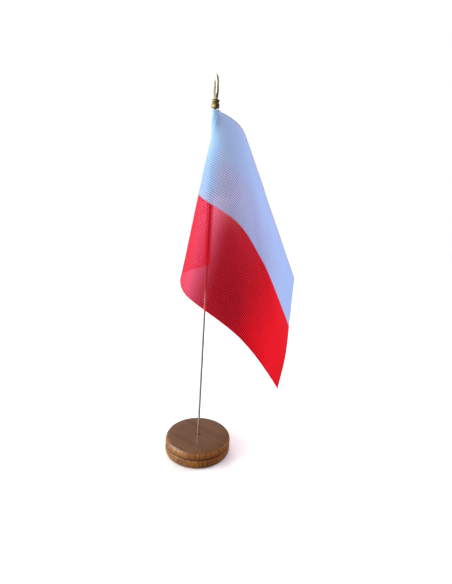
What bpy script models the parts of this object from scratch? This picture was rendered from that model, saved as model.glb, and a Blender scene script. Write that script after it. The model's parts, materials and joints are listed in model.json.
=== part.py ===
"""A desk flag stand: a turned wooden base with a steel rod, a brass spear finial and a draped cloth flag.

Metres, +Z up. The origin is the centre of the base's underside, on the rod's axis. +X is the side that
the flag flies to, and -Y is the side that its front fold faces.
"""

import math

import bmesh
import bpy
from mathutils import Matrix, Vector

GAP = 0.0003                 # clearance between neighbouring pieces

# Wooden disc, with a felt pad let into its underside
DISC_RADIUS = 0.0320
DISC_TOP = 0.0175            # height of the flat top above the desk
DISC_FOOT = 0.0005           # the wooden rim stays this far off the desk
SHOULDER_DROP = 0.0049       # from the flat top down to the upper band's widest line
SHOULDER_DEPTH = 0.0036      # how far the shoulder curves in
SHOULDER_START = 74.0        # degrees up the shoulder's arc, where it meets the flat in a crisp line
GROOVE_HEIGHT = 0.0098
GROOVE_HALF = 0.0007
GROOVE_DEPTH = 0.0017
LIP_DEPTH = 0.0007           # how far the bands curve in where they meet the groove
LOWER_BAND_HEIGHT = 0.0056   # the lower band's widest line
FOOT_DEPTH = 0.0022
PAD_RADIUS = 0.0265
PAD_THICKNESS = 0.0010
PAD_RECESS = 0.0013          # height of the recess's ceiling above the desk

# Steel rod, in a blind hole in the disc
ROD_RADIUS = 0.0010
SOCKET_DEPTH = 0.0120
ROD_FOOT = DISC_TOP - SOCKET_DEPTH + GAP
ROD_CHAMFER = 0.0002

# Brass finial: a ringed collar on the rod's end, and a leaf-shaped spear head above it
COLLAR_FOOT = 0.3352
COLLAR_HEIGHT = 0.0086
COLLAR_BORE_DEPTH = 0.0062
COLLAR_LIP_RADIUS = 0.0027
COLLAR_BARREL_RADIUS = 0.0034
COLLAR_WAIST_RADIUS = 0.0026
COLLAR_RING_RADIUS = 0.0033
COLLAR_NECK_RADIUS = 0.0020
TANG_RADIUS = 0.0007
TANG_LENGTH = 0.0015
SPEAR_FOOT = COLLAR_FOOT + COLLAR_HEIGHT + GAP
SPEAR_HEIGHT = 0.0200
SPEAR_TURN = -80.0           # degrees that the blade is turned about the rod, so its edge faces forward
SPEAR_TIP_STEPS = 12
# Half width and half thickness of the blade, at even steps from its foot to its tip
SPEAR_HALF_WIDTHS = (0.0021, 0.0034, 0.0043, 0.0046, 0.0043, 0.0036, 0.0025, 0.0013, 0.0003)
SPEAR_HALF_THICKNESSES = (0.0018, 0.0020, 0.0022, 0.0022, 0.0020, 0.0019, 0.0017, 0.0013, 0.0003)

# Cloth flag, white over red, with a sleeve sewn along its hoist
FLAG_LENGTH = 0.210
FLAG_HEIGHT = 0.140
CLOTH_THICKNESS = 0.0006
FLAG_TOP = COLLAR_FOOT - 0.0008
HOIST_MARGIN = 0.0066        # cloth taken up by the sleeve, from the rod's axis
# How far each ray of cloth from the top corner leans to +X and to +Y, from the top edge down to the hoist
DRAPE = (
    (0.358, 0.342),
    (0.318, 0.090),
    (0.256, -0.167),
    (0.127, -0.399),
    (-0.086, -0.416),
    (-0.134, -0.187),
    (0.000, 0.000),
)
STAND_OUT = 1.3              # how strongly the top edge stands out before it drops
STAND_OUT_LENGTH = 0.050
STAND_OUT_HEADING = 18.0     # degrees from +X towards +Y
SLEEVE_HALF_WIDTH = 0.0046
SLEEVE_HALF_THICKNESS = 0.0020
SLEEVE_WALL = 0.0005
SLEEVE_SHIFT = 0.0009        # the sleeve's middle, from the rod's axis, towards the cloth
SLEEVE_HEADING = -130.0      # degrees from +X, the way that the cloth leaves the sleeve

SHARP_ANGLE = 35.0           # degrees; flatter edges are shaded smooth
ROUND_STEPS = 64
BRASS_STEPS = 28
ROD_STEPS = 16
SLEEVE_STEPS = 20
CLOTH_COLUMNS = 30
CLOTH_ROWS = 10


def clear_scene():
    for old in list(bpy.data.objects):
        bpy.data.objects.remove(old, do_unlink=True)


def make_material(name, colour, roughness, metallic=0.0):
    material = bpy.data.materials.new(name)
    material.use_nodes = True
    shader = material.node_tree.nodes["Principled BSDF"]
    shader.inputs["Base Color"].default_value = (*colour, 1.0)
    shader.inputs["Roughness"].default_value = roughness
    shader.inputs["Metallic"].default_value = metallic
    return material


def make_empty(name, location, parent=None):
    empty = bpy.data.objects.new(name, None)
    bpy.context.scene.collection.objects.link(empty)
    empty.location = location
    if parent:
        empty.parent = parent
        empty.location = Vector(location) - parent.location
    return empty


def make_object(name, mesh_maker, material, parent):
    """A new object whose origin is its parent empty. The mesh is made in world places, then shifted."""
    shape = bmesh.new()
    mesh_maker(shape)
    bmesh.ops.recalc_face_normals(shape, faces=shape.faces)
    bmesh.ops.translate(shape, verts=shape.verts, vec=-world_place(parent))
    mesh = bpy.data.meshes.new(name)
    shape.to_mesh(mesh)
    shape.free()
    mesh.materials.append(material)
    mesh.shade_smooth()
    mesh.set_sharp_from_angle(angle=math.radians(SHARP_ANGLE))
    piece = bpy.data.objects.new(name, mesh)
    bpy.context.scene.collection.objects.link(piece)
    piece.parent = parent
    return piece


def world_place(empty):
    place = Vector((0.0, 0.0, 0.0))
    while empty:
        place += empty.location
        empty = empty.parent
    return place


def arc(centre_r, centre_z, depth, height, start, end, steps):
    """Points (r, z) along an ellipse's arc, from start to end in degrees."""
    points = []
    for step in range(steps + 1):
        angle = math.radians(start + (end - start) * step / steps)
        points.append((centre_r + depth * math.cos(angle), centre_z + height * math.sin(angle)))
    return points


def turn(shape, profile, steps):
    """Turns a profile of (r, z) points round the Z axis. It starts and ends on the axis."""
    points = [shape.verts.new((r, 0.0, z)) for r, z in profile]
    edges = [shape.edges.new(pair) for pair in zip(points, points[1:])]
    bmesh.ops.spin(
        shape,
        geom=points + edges,
        cent=(0.0, 0.0, 0.0),
        axis=(0.0, 0.0, 1.0),
        angle=math.tau,
        steps=steps,
        use_merge=True,
    )
    bmesh.ops.remove_doubles(shape, verts=shape.verts, dist=1e-6)


def turned(profile, steps):
    return lambda shape: turn(shape, profile, steps)


def disc_profile():
    bore = ROD_RADIUS + GAP
    floor = DISC_TOP - SOCKET_DEPTH
    upper_line = DISC_TOP - SHOULDER_DROP
    lip = DISC_RADIUS - LIP_DEPTH
    shoulder_centre = DISC_RADIUS - SHOULDER_DEPTH
    shoulder_height = SHOULDER_DROP / math.sin(math.radians(SHOULDER_START))
    groove_top = GROOVE_HEIGHT + GROOVE_HALF
    groove_foot = GROOVE_HEIGHT - GROOVE_HALF
    foot_height = LOWER_BAND_HEIGHT - DISC_FOOT
    recess = PAD_RADIUS + GAP
    profile = [(0.0, floor), (bore, floor), (bore, DISC_TOP)]
    profile += arc(shoulder_centre, upper_line, SHOULDER_DEPTH, shoulder_height, SHOULDER_START, 0.0, 8)
    profile += arc(lip, upper_line, LIP_DEPTH, upper_line - groove_top, 0.0, -90.0, 4)[1:]
    profile += [(DISC_RADIUS - GROOVE_DEPTH, GROOVE_HEIGHT)]
    profile += arc(lip, LOWER_BAND_HEIGHT, LIP_DEPTH, groove_foot - LOWER_BAND_HEIGHT, 90.0, 0.0, 4)
    profile += arc(DISC_RADIUS - FOOT_DEPTH, LOWER_BAND_HEIGHT, FOOT_DEPTH, foot_height, 0.0, -90.0, 6)[1:]
    profile += [(recess, DISC_FOOT), (recess, PAD_RECESS), (0.0, PAD_RECESS)]
    return profile


def pad_profile():
    edge = 0.0002
    return [
        (0.0, PAD_THICKNESS),
        (PAD_RADIUS - edge, PAD_THICKNESS),
        (PAD_RADIUS, PAD_THICKNESS - edge),
        (PAD_RADIUS, edge),
        (PAD_RADIUS - edge, 0.0),
        (0.0, 0.0),
    ]


def rod_profile():
    top = COLLAR_FOOT + COLLAR_BORE_DEPTH - GAP
    return [
        (0.0, top),
        (ROD_RADIUS - ROD_CHAMFER, top),
        (ROD_RADIUS, top - ROD_CHAMFER),
        (ROD_RADIUS, ROD_FOOT + ROD_CHAMFER),
        (ROD_RADIUS - ROD_CHAMFER, ROD_FOOT),
        (0.0, ROD_FOOT),
    ]


def collar_profile():
    """A barrel, a waist and a ring, with the rod's bore below and the tang's hole above."""
    foot = COLLAR_FOOT
    top = foot + COLLAR_HEIGHT
    bore = ROD_RADIUS + GAP
    hole = TANG_RADIUS + GAP
    barrel = foot + 0.30 * COLLAR_HEIGHT
    waist = foot + 0.60 * COLLAR_HEIGHT
    ring = foot + 0.76 * COLLAR_HEIGHT
    swell = COLLAR_BARREL_RADIUS - COLLAR_WAIST_RADIUS
    bead = COLLAR_RING_RADIUS - COLLAR_WAIST_RADIUS
    profile = [(0.0, top - TANG_LENGTH - GAP), (hole, top - TANG_LENGTH - GAP), (hole, top)]
    profile += [(COLLAR_NECK_RADIUS, top)]
    profile += arc(COLLAR_WAIST_RADIUS, ring, bead, ring - waist - 0.0003, 75.0, -75.0, 6)
    profile += [(COLLAR_WAIST_RADIUS, waist)]
    profile += arc(COLLAR_WAIST_RADIUS, barrel, swell, waist - barrel - 0.0003, 80.0, 0.0, 5)
    lip_slope = COLLAR_BARREL_RADIUS - COLLAR_LIP_RADIUS
    profile += arc(COLLAR_LIP_RADIUS, barrel, lip_slope, barrel - foot, 0.0, -90.0, 5)[1:]
    profile += [(bore, foot), (bore, foot + COLLAR_BORE_DEPTH), (0.0, foot + COLLAR_BORE_DEPTH)]
    return profile


def bridge_rings(shape, rings):
    for lower, upper in zip(rings, rings[1:]):
        count = len(lower)
        for side in range(count):
            after = (side + 1) % count
            shape.faces.new((lower[side], lower[after], upper[after], upper[side]))


def blade_ring(half_width, half_thickness):
    """A diamond cross-section with narrow flats along its edges and its ridges."""
    edge = 0.12
    return [
        (half_width, edge * half_thickness),
        (edge * half_width, half_thickness),
        (-edge * half_width, half_thickness),
        (-half_width, edge * half_thickness),
        (-half_width, -edge * half_thickness),
        (-edge * half_width, -half_thickness),
        (edge * half_width, -half_thickness),
        (half_width, -edge * half_thickness),
    ]


def catmull(values, place):
    """A smooth curve through evenly spaced values, which are numbers or tuples, at 0 to 1."""
    last = len(values) - 1
    at = min(max(place, 0.0), 1.0) * last
    first = min(int(at), last - 1)
    part = at - first
    points = [Vector(value) for value in values]
    before = points[first - 1] if first > 0 else 2 * points[0] - points[1]
    after = points[first + 2] if first + 2 <= last else 2 * points[last] - points[last - 1]
    start, end = points[first], points[first + 1]
    return 0.5 * (
        2 * start
        + (end - before) * part
        + (2 * before - 5 * start + 4 * end - after) * part**2
        + (3 * start - before - 3 * end + after) * part**3
    )


def spear_shape(shape):
    """The blade's rings from foot to tip, on a tang that is the lowest part of the same solid."""
    sizes = [Vector(pair).to_3d() for pair in zip(SPEAR_HALF_WIDTHS, SPEAR_HALF_THICKNESSES)]
    sides = len(blade_ring(1.0, 1.0))
    rings = []
    for height in (SPEAR_FOOT - TANG_LENGTH - GAP, SPEAR_FOOT):
        ring = []
        for side in range(sides):
            angle = math.tau * (side + 0.5) / sides
            place = (TANG_RADIUS * math.cos(angle), TANG_RADIUS * math.sin(angle), height)
            ring.append(shape.verts.new(place))
        rings.append(ring)
    for step in range(SPEAR_TIP_STEPS + 1):
        along = step / SPEAR_TIP_STEPS
        size = catmull(sizes, along)
        height = SPEAR_FOOT + along * SPEAR_HEIGHT
        rings.append([shape.verts.new((x, y, height)) for x, y in blade_ring(size.x, size.y)])
    bridge_rings(shape, rings)
    shape.faces.new(rings[0])
    shape.faces.new(rings[-1])
    turn_to = Matrix.Rotation(math.radians(SPEAR_TURN), 3, "Z")
    bmesh.ops.rotate(shape, verts=shape.verts, cent=(0.0, 0.0, 0.0), matrix=turn_to)


def smooth_step(value):
    value = min(max(value, 0.0), 1.0)
    return value * value * (3.0 - 2.0 * value)


def cloth_point(along, down):
    """Where the flat cloth's point (along the top edge, down the hoist) hangs.

    The cloth is a cone of straight rays from the top corner at the rod. Near that corner each ray
    first stands out to the side, most of all along the top edge.
    """
    reach = math.hypot(along, down)
    angle = math.atan2(down, along)
    lean = catmull(DRAPE, angle / (math.pi / 2))
    ray = Vector((lean.x, lean.y, -math.sqrt(1.0 - lean.x**2 - lean.y**2)))
    heading = math.radians(STAND_OUT_HEADING)
    outward = Vector((math.cos(heading), math.sin(heading), 0.0))
    strength = STAND_OUT * max(math.cos(angle), 0.0) ** 3
    steps = 12
    near = min(reach, STAND_OUT_LENGTH)
    place = Vector((0.0, 0.0, FLAG_TOP))
    for step in range(steps):
        travelled = near * (step + 0.5) / steps
        fade = smooth_step(1.0 - travelled / STAND_OUT_LENGTH)
        place += (ray + outward * strength * fade).normalized() * (near / steps)
    return place + ray * (reach - near)


def cloth_shape(shape, top, foot):
    """A thin closed sheet between two depths down the hoist."""
    grid = []
    nudge = 0.0005
    for row in range(CLOTH_ROWS + 1):
        down = top + (foot - top) * row / CLOTH_ROWS
        line = []
        for column in range(CLOTH_COLUMNS + 1):
            along = HOIST_MARGIN + (FLAG_LENGTH - HOIST_MARGIN) * (column / CLOTH_COLUMNS) ** 1.25
            place = cloth_point(along, down)
            across = cloth_point(along + nudge, down) - cloth_point(along - nudge, down)
            below = cloth_point(along, down + nudge) - cloth_point(along, abs(down - nudge))
            normal = across.cross(below).normalized() * CLOTH_THICKNESS / 2
            line.append((shape.verts.new(place + normal), shape.verts.new(place - normal)))
        grid.append(line)
    for upper, lower in zip(grid, grid[1:]):
        for column in range(CLOTH_COLUMNS):
            a, b = upper[column], upper[column + 1]
            d, c = lower[column], lower[column + 1]
            shape.faces.new((a[0], b[0], c[0], d[0]))
            shape.faces.new((d[1], c[1], b[1], a[1]))
    border = grid[0] + [line[-1] for line in grid[1:]] + grid[-1][-2::-1]
    border += [line[0] for line in grid[-2:0:-1]]
    for here, after in zip(border, border[1:] + border[:1]):
        shape.faces.new((here[0], here[1], after[1], after[0]))


def cloth(top, foot):
    return lambda shape: cloth_shape(shape, top, foot)


def sleeve_ring(shape, shrink, height):
    heading = math.radians(SLEEVE_HEADING)
    out = Vector((math.cos(heading), math.sin(heading), 0.0))
    side = Vector((-out.y, out.x, 0.0))
    ring = []
    for step in range(SLEEVE_STEPS):
        angle = math.tau * step / SLEEVE_STEPS
        place = out * (SLEEVE_SHIFT + (SLEEVE_HALF_WIDTH - shrink) * math.cos(angle))
        place += side * (SLEEVE_HALF_THICKNESS - shrink) * math.sin(angle)
        place.z = height
        ring.append(shape.verts.new(place))
    return ring


def sleeve_shape(shape, top, foot):
    """A flattened tube round the rod, open at both ends."""
    outer = [sleeve_ring(shape, 0.0, z) for z in (foot, top)]
    inner = [sleeve_ring(shape, SLEEVE_WALL, z) for z in (top, foot)]
    bridge_rings(shape, outer + inner + outer[:1])


def sleeve(top, foot):
    return lambda shape: sleeve_shape(shape, top, foot)


def build():
    clear_scene()
    wood = make_material("oiled_wood", (0.180, 0.095, 0.050), 0.45)
    felt = make_material("green_felt", (0.020, 0.050, 0.030), 0.95)
    steel = make_material("bright_steel", (0.620, 0.630, 0.650), 0.20, 1.0)
    brass = make_material("brass", (0.560, 0.420, 0.180), 0.30, 1.0)
    white = make_material("white_cloth", (0.750, 0.770, 0.860), 0.80)
    red = make_material("red_cloth", (0.720, 0.010, 0.030), 0.80)

    base = make_empty("base_frame", (0.0, 0.0, 0.0))
    mast = make_empty("mast_frame", (0.0, 0.0, DISC_TOP), base)
    flag = make_empty("flag_frame", (0.0, 0.0, FLAG_TOP), mast)
    finial = make_empty("finial_frame", (0.0, 0.0, COLLAR_FOOT), mast)

    make_object("base_disc", turned(disc_profile(), ROUND_STEPS), wood, base)
    make_object("base_pad", turned(pad_profile(), ROUND_STEPS), felt, base)
    make_object("rod", turned(rod_profile(), ROD_STEPS), steel, mast)
    make_object("finial_collar", turned(collar_profile(), BRASS_STEPS), brass, finial)
    make_object("finial_spear", spear_shape, brass, finial)

    middle = FLAG_HEIGHT / 2
    make_object("flag_white", cloth(0.0, middle - GAP / 2), white, flag)
    make_object("flag_red", cloth(middle + GAP / 2, FLAG_HEIGHT), red, flag)
    seam = FLAG_TOP - middle
    make_object("sleeve_white", sleeve(FLAG_TOP, seam + GAP / 2), white, flag)
    make_object("sleeve_red", sleeve(seam - GAP / 2, FLAG_TOP - FLAG_HEIGHT), red, flag)


build()
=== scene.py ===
"""The looks of a desk flag stand: a draped cloth flag, white over red, on a steel rod in a wooden base."""

import json
import math

import bmesh
import bpy
import numpy as np
from mathutils import Matrix, Vector

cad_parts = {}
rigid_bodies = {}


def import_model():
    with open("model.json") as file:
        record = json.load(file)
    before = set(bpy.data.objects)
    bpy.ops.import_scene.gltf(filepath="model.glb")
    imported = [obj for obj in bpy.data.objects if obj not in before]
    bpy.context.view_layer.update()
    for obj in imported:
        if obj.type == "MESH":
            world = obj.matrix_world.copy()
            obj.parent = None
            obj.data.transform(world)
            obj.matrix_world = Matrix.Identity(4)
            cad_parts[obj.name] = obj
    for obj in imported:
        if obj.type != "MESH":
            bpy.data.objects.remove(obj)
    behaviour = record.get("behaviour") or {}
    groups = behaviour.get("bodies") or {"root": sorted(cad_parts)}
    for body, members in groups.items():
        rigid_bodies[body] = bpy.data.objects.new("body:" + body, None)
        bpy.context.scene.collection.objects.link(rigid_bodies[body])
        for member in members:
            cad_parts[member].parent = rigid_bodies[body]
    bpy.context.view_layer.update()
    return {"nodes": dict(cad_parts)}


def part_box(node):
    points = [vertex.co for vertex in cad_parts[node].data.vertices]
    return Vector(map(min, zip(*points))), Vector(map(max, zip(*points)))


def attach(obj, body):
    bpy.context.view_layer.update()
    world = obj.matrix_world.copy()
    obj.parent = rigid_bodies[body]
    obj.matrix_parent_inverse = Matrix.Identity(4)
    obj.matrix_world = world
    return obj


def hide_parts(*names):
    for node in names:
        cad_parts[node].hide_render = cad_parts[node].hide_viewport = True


for old in list(bpy.data.objects):
    bpy.data.objects.remove(old, do_unlink=True)

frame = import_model()

# ---------------------------------------------------------------- places and sizes, from the frame
DISC_LOW, DISC_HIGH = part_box("base_disc")
ROD_LOW, ROD_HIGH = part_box("rod")
COLLAR_LOW, COLLAR_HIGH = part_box("finial_collar")
SPEAR_LOW, SPEAR_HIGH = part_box("finial_spear")
SLEEVE_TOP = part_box("sleeve_white")[1].z
SLEEVE_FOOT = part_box("sleeve_red")[0].z

DISC_RADIUS = DISC_HIGH.x
DISC_TOP = DISC_HIGH.z
DISC_FOOT = DISC_LOW.z
ROD_RADIUS = ROD_HIGH.x
COLLAR_HEIGHT = COLLAR_HIGH.z - COLLAR_LOW.z
FLAG_HEIGHT = SLEEVE_TOP - SLEEVE_FOOT
FLAG_LENGTH = 1.5 * FLAG_HEIGHT

# ---------------------------------------------------------------- the camera
IMAGE_HEIGHT = 584
FOCAL_PIXELS = 550.0
SENSOR = 36.0
CAMERA_PLACE = (0.0390, -0.4867, 0.3423)
CAMERA_YAW, CAMERA_PITCH, CAMERA_ROLL = 0.53, -14.13, 4.29
CAMERA_SHIFT = (-30.0, -50.0)          # in pixels of the image


def make_camera():
    data = bpy.data.cameras.new("camera")
    data.sensor_width = SENSOR
    data.lens = FOCAL_PIXELS * SENSOR / IMAGE_HEIGHT
    data.shift_x = CAMERA_SHIFT[0] / IMAGE_HEIGHT
    data.shift_y = CAMERA_SHIFT[1] / IMAGE_HEIGHT
    data.clip_start = 0.01
    camera = bpy.data.objects.new("camera", data)
    bpy.context.scene.collection.objects.link(camera)
    level = Matrix.Rotation(math.radians(-CAMERA_YAW), 4, "Z")
    tilted = level @ Matrix.Rotation(math.radians(90.0 + CAMERA_PITCH), 4, "X")
    rolled = tilted @ Matrix.Rotation(math.radians(CAMERA_ROLL), 4, "Z")
    camera.matrix_world = Matrix.Translation(CAMERA_PLACE) @ rolled
    bpy.context.scene.camera = camera


# ---------------------------------------------------------------- material helpers
class Tree:
    """A material's node tree, with short names for the nodes that this script uses."""

    def __init__(self, name):
        self.material = bpy.data.materials.new(name)
        self.material.use_nodes = True
        self.nodes = self.material.node_tree.nodes
        self.links = self.material.node_tree.links
        self.shader = self.nodes["Principled BSDF"]
        self.output = self.nodes["Material Output"]

    def set(self, **values):
        for key, value in values.items():
            self.shader.inputs[key.replace("_", " ")].default_value = value
        return self

    def link(self, source, target):
        self.links.new(source, target)

    def feed(self, node, index, value):
        if hasattr(value, "is_linked"):
            self.link(value, node.inputs[index])
        elif value is not None:
            node.inputs[index].default_value = value

    def coordinates(self, kind="Object"):
        return self.nodes.new("ShaderNodeTexCoord").outputs[kind]

    def mapped(self, vector, scale=(1, 1, 1), turn=(0, 0, 0)):
        node = self.nodes.new("ShaderNodeMapping")
        self.link(vector, node.inputs["Vector"])
        node.inputs["Scale"].default_value = scale
        node.inputs["Rotation"].default_value = [math.radians(angle) for angle in turn]
        return node.outputs["Vector"]

    def noise(self, vector, scale, detail=3.0, roughness=0.5):
        node = self.nodes.new("ShaderNodeTexNoise")
        self.link(vector, node.inputs["Vector"])
        node.inputs["Scale"].default_value = scale
        node.inputs["Detail"].default_value = detail
        node.inputs["Roughness"].default_value = roughness
        return node.outputs["Fac"]

    def math(self, operation, first, second=None, third=None):
        node = self.nodes.new("ShaderNodeMath")
        node.operation = operation
        for index, value in enumerate((first, second, third)):
            self.feed(node, index, value)
        return node.outputs[0]

    def ramp(self, value, low, high, out_low=0.0, out_high=1.0):
        node = self.nodes.new("ShaderNodeMapRange")
        node.interpolation_type = "SMOOTHSTEP"
        for index, item in enumerate((value, low, high, out_low, out_high)):
            self.feed(node, index, item)
        return node.outputs[0]

    def mix(self, factor, first, second):
        node = self.nodes.new("ShaderNodeMix")
        node.data_type = "RGBA"
        self.feed(node, 0, factor)
        for index, colour in ((6, first), (7, second)):
            if hasattr(colour, "is_linked"):
                self.link(colour, node.inputs[index])
            else:
                node.inputs[index].default_value = (*colour, 1.0)
        return node.outputs[2]

    def split(self, vector):
        node = self.nodes.new("ShaderNodeSeparateXYZ")
        self.link(vector, node.inputs[0])
        return node.outputs

    def join(self, x, y, z=0.0):
        node = self.nodes.new("ShaderNodeCombineXYZ")
        for index, value in enumerate((x, y, z)):
            self.feed(node, index, value)
        return node.outputs[0]

    def bump(self, height, strength, distance):
        node = self.nodes.new("ShaderNodeBump")
        node.inputs["Strength"].default_value = strength
        node.inputs["Distance"].default_value = distance
        self.link(height, node.inputs["Height"])
        self.link(node.outputs[0], self.shader.inputs["Normal"])
        return node.outputs[0]

    def colour(self, value):
        self.link(value, self.shader.inputs["Base Color"])

    def roughness(self, value):
        self.link(value, self.shader.inputs["Roughness"])


# ---------------------------------------------------------------- wood
GRAIN_TURN = 35.0                 # degrees from +X towards -Y that the grain runs
RING_CENTRE = (0.130, 0.020)      # where the tree's heart lies, across the grain and below the disc
RING_PITCH = 0.0030
WOOD_DARK = (0.040, 0.015, 0.005)
WOOD_MID = (0.085, 0.036, 0.013)
WOOD_LIGHT = (0.140, 0.064, 0.024)
PORE_COLOUR = (0.022, 0.008, 0.003)
# Painted light: the disc's sides are brighter and warmer than its top, as if lit from the front; between
# these two tones run streaks of end grain
PAINTED_LIT_SIDE_PALE = (0.370, 0.140, 0.024)
PAINTED_LIT_SIDE_DEEP = (0.160, 0.052, 0.008)


def wood_material():
    """Varnished hardwood cut from solid timber: growth rings, pores and rays that run through the disc."""
    tree = Tree("varnished_wood").set(Roughness=0.50, Specular_IOR_Level=0.3)
    tree.set(Coat_Weight=0.40, Coat_Roughness=0.28)
    along = tree.mapped(tree.coordinates(), turn=(0, 0, GRAIN_TURN))
    x, y, z = tree.split(along)
    drift = tree.noise(tree.mapped(along, scale=(9.0, 30.0, 30.0)), 1.0, 3.0)
    across = tree.math("ADD", y, RING_CENTRE[0])
    below = tree.math("ADD", z, RING_CENTRE[1])
    reach = tree.math("SQRT", tree.math("ADD", tree.math("MULTIPLY", across, across),
                                        tree.math("MULTIPLY", below, below)))
    bent = tree.math("ADD", reach, tree.math("MULTIPLY", drift, 0.010))
    year = tree.math("FRACT", tree.math("DIVIDE", bent, RING_PITCH))
    late = tree.ramp(year, 0.35, 0.95)
    fall = tree.ramp(year, 0.95, 1.0, 1.0, 0.0)
    ring = tree.math("MULTIPLY", late, fall)
    fibre = tree.noise(tree.mapped(along, scale=(60.0, 1500.0, 1500.0)), 1.0, 4.0, 0.65)
    streak = tree.noise(tree.mapped(along, scale=(14.0, 260.0, 260.0)), 1.0, 3.0, 0.6)
    patch = tree.noise(along, 35.0, 2.0)
    body = tree.mix(tree.ramp(streak, 0.30, 0.70), WOOD_MID, WOOD_LIGHT)
    body = tree.mix(tree.math("MULTIPLY", ring, 0.55), body, WOOD_DARK)
    body = tree.mix(tree.ramp(fibre, 0.35, 0.75, 0.0, 0.35), body, WOOD_DARK)
    body = tree.mix(tree.ramp(patch, 0.35, 0.70, 0.0, 0.25), body, WOOD_LIGHT)
    pores = tree.noise(tree.mapped(along, scale=(170.0, 2600.0, 2600.0)), 1.0, 1.0, 0.4)
    pore = tree.ramp(pores, 0.62, 0.70)
    pore = tree.math("MULTIPLY", pore, tree.ramp(year, 0.0, 0.6, 1.0, 0.25))
    body = tree.mix(tree.math("MULTIPLY", pore, 0.75), body, PORE_COLOUR)
    # Painted light: the upright sides take the brighter, warmer tone, streaked with end grain
    facing = tree.nodes.new("ShaderNodeNewGeometry")
    upright = tree.math("ABSOLUTE", tree.split(facing.outputs["Normal"])[2])
    side = tree.ramp(upright, 0.35, 0.97, 1.0, 0.0)
    x, y, z = tree.split(tree.coordinates())
    round_side = tree.math("MULTIPLY", tree.math("ARCTAN2", y, x), DISC_RADIUS)
    around = tree.math("MULTIPLY", round_side, 700.0)
    ends = tree.noise(tree.join(around, tree.math("MULTIPLY", z, 90.0)), 1.0, 3.0)
    painted_lit_side = tree.mix(tree.ramp(ends, 0.38, 0.62), PAINTED_LIT_SIDE_DEEP, PAINTED_LIT_SIDE_PALE)
    tree.colour(tree.mix(tree.math("MULTIPLY", side, 0.80), body, painted_lit_side))
    tree.roughness(tree.ramp(patch, 0.3, 0.7, 0.36, 0.50))
    height = tree.math("SUBTRACT", tree.math("MULTIPLY", fibre, 0.35), pore)
    tree.bump(height, 0.35, 0.00012)
    return tree.material


# ---------------------------------------------------------------- metals and felt
ROD_PAINTED_SHADE_HEIGHTS = (SLEEVE_FOOT - 0.045, SLEEVE_FOOT - 0.020)   # painted shade on the rod where the flag hangs round it: the rod darkens and dulls between these heights
STEEL_HAZY = (0.74, 0.75, 0.77)
STEEL_CLEAR = (0.86, 0.87, 0.88)
# the colour of that painted shade, on the rod where the flag hangs round it
STEEL_PAINTED_SHADE = (0.10, 0.07, 0.07)
FELT_DARK = (0.020, 0.030, 0.024)
FELT_MID = (0.050, 0.066, 0.055)
FELT_FUZZ = (0.09, 0.11, 0.095)


def steel_material():
    tree = Tree("bright_steel").set(Metallic=1.0, Roughness=0.16)
    places = tree.coordinates()
    drawn = tree.noise(tree.mapped(places, scale=(2600.0, 2600.0, 40.0)), 1.0, 3.0, 0.6)
    haze = tree.noise(places, 60.0, 3.0)
    # Painted shade: the rod darkens, and dulls, where the flag hangs round it
    painted_flag_shade = tree.ramp(tree.split(places)[2], *ROD_PAINTED_SHADE_HEIGHTS)
    bright = tree.mix(tree.ramp(haze, 0.3, 0.7), STEEL_HAZY, STEEL_CLEAR)
    tree.colour(tree.mix(painted_flag_shade, bright, STEEL_PAINTED_SHADE))
    polish = tree.math("ADD", tree.ramp(drawn, 0.3, 0.7, 0.10, 0.20), tree.ramp(haze, 0.4, 0.8, 0.0, 0.08))
    tree.roughness(tree.math("MULTIPLY_ADD", painted_flag_shade, 0.35, polish))
    tree.bump(drawn, 0.10, 0.00004)
    return tree.material


def brass_material(name, bright, dull, low, high):
    """Lacquered brass, with tarnish that gathers in patches and in its fine scratches."""
    tree = Tree(name).set(Metallic=1.0)
    places = tree.coordinates()
    tarnish = tree.noise(places, 420.0, 4.0, 0.6)
    scratch = tree.noise(tree.mapped(places, scale=(3500.0, 3500.0, 260.0)), 1.0, 3.0, 0.6)
    tree.colour(tree.mix(tree.ramp(tarnish, 0.38, 0.66), bright, dull))
    patchy = tree.ramp(tarnish, 0.3, 0.7, low, high)
    tree.roughness(tree.math("ADD", patchy, tree.ramp(scratch, 0.4, 0.8, 0.0, 0.10)))
    tree.bump(scratch, 0.08, 0.00002)
    return tree.material


def felt_material():
    tree = Tree("dark_felt").set(Roughness=0.95, Sheen_Weight=0.4, Sheen_Roughness=0.6)
    places = tree.coordinates()
    fuzz = tree.noise(places, 2200.0, 4.0, 0.7)
    clump = tree.noise(places, 240.0, 3.0)
    shade = tree.mix(tree.ramp(clump, 0.3, 0.7), FELT_DARK, FELT_MID)
    tree.colour(tree.mix(tree.ramp(fuzz, 0.4, 0.7, 0.0, 0.6), shade, FELT_FUZZ))
    tree.bump(fuzz, 0.8, 0.0002)
    return tree.material


# ---------------------------------------------------------------- cloth
MESH_PITCH = 0.00165              # between the rows of holes in the knit
YARN_PITCH = 0.00055
WHITE_HOLES = (0.34, 0.84)        # the weave's height at which a hole begins, and at which it is fully open
RED_HOLES = (0.28, 0.62)
FLY_DENSE_AND_PAINTED_LIGHT = (0.115, 0.190)        # the knit closes up towards the fly, between these distances from the hoist, and is painted paler there: painted light
FLY_OPENNESS = 0.10
EDGE_DENSE_AND_PAINTED_LIGHT = (0.018, 0.050)       # and towards the top edge, between these distances from it, painted paler there too: painted light
EDGE_OPENNESS = 0.20


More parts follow.
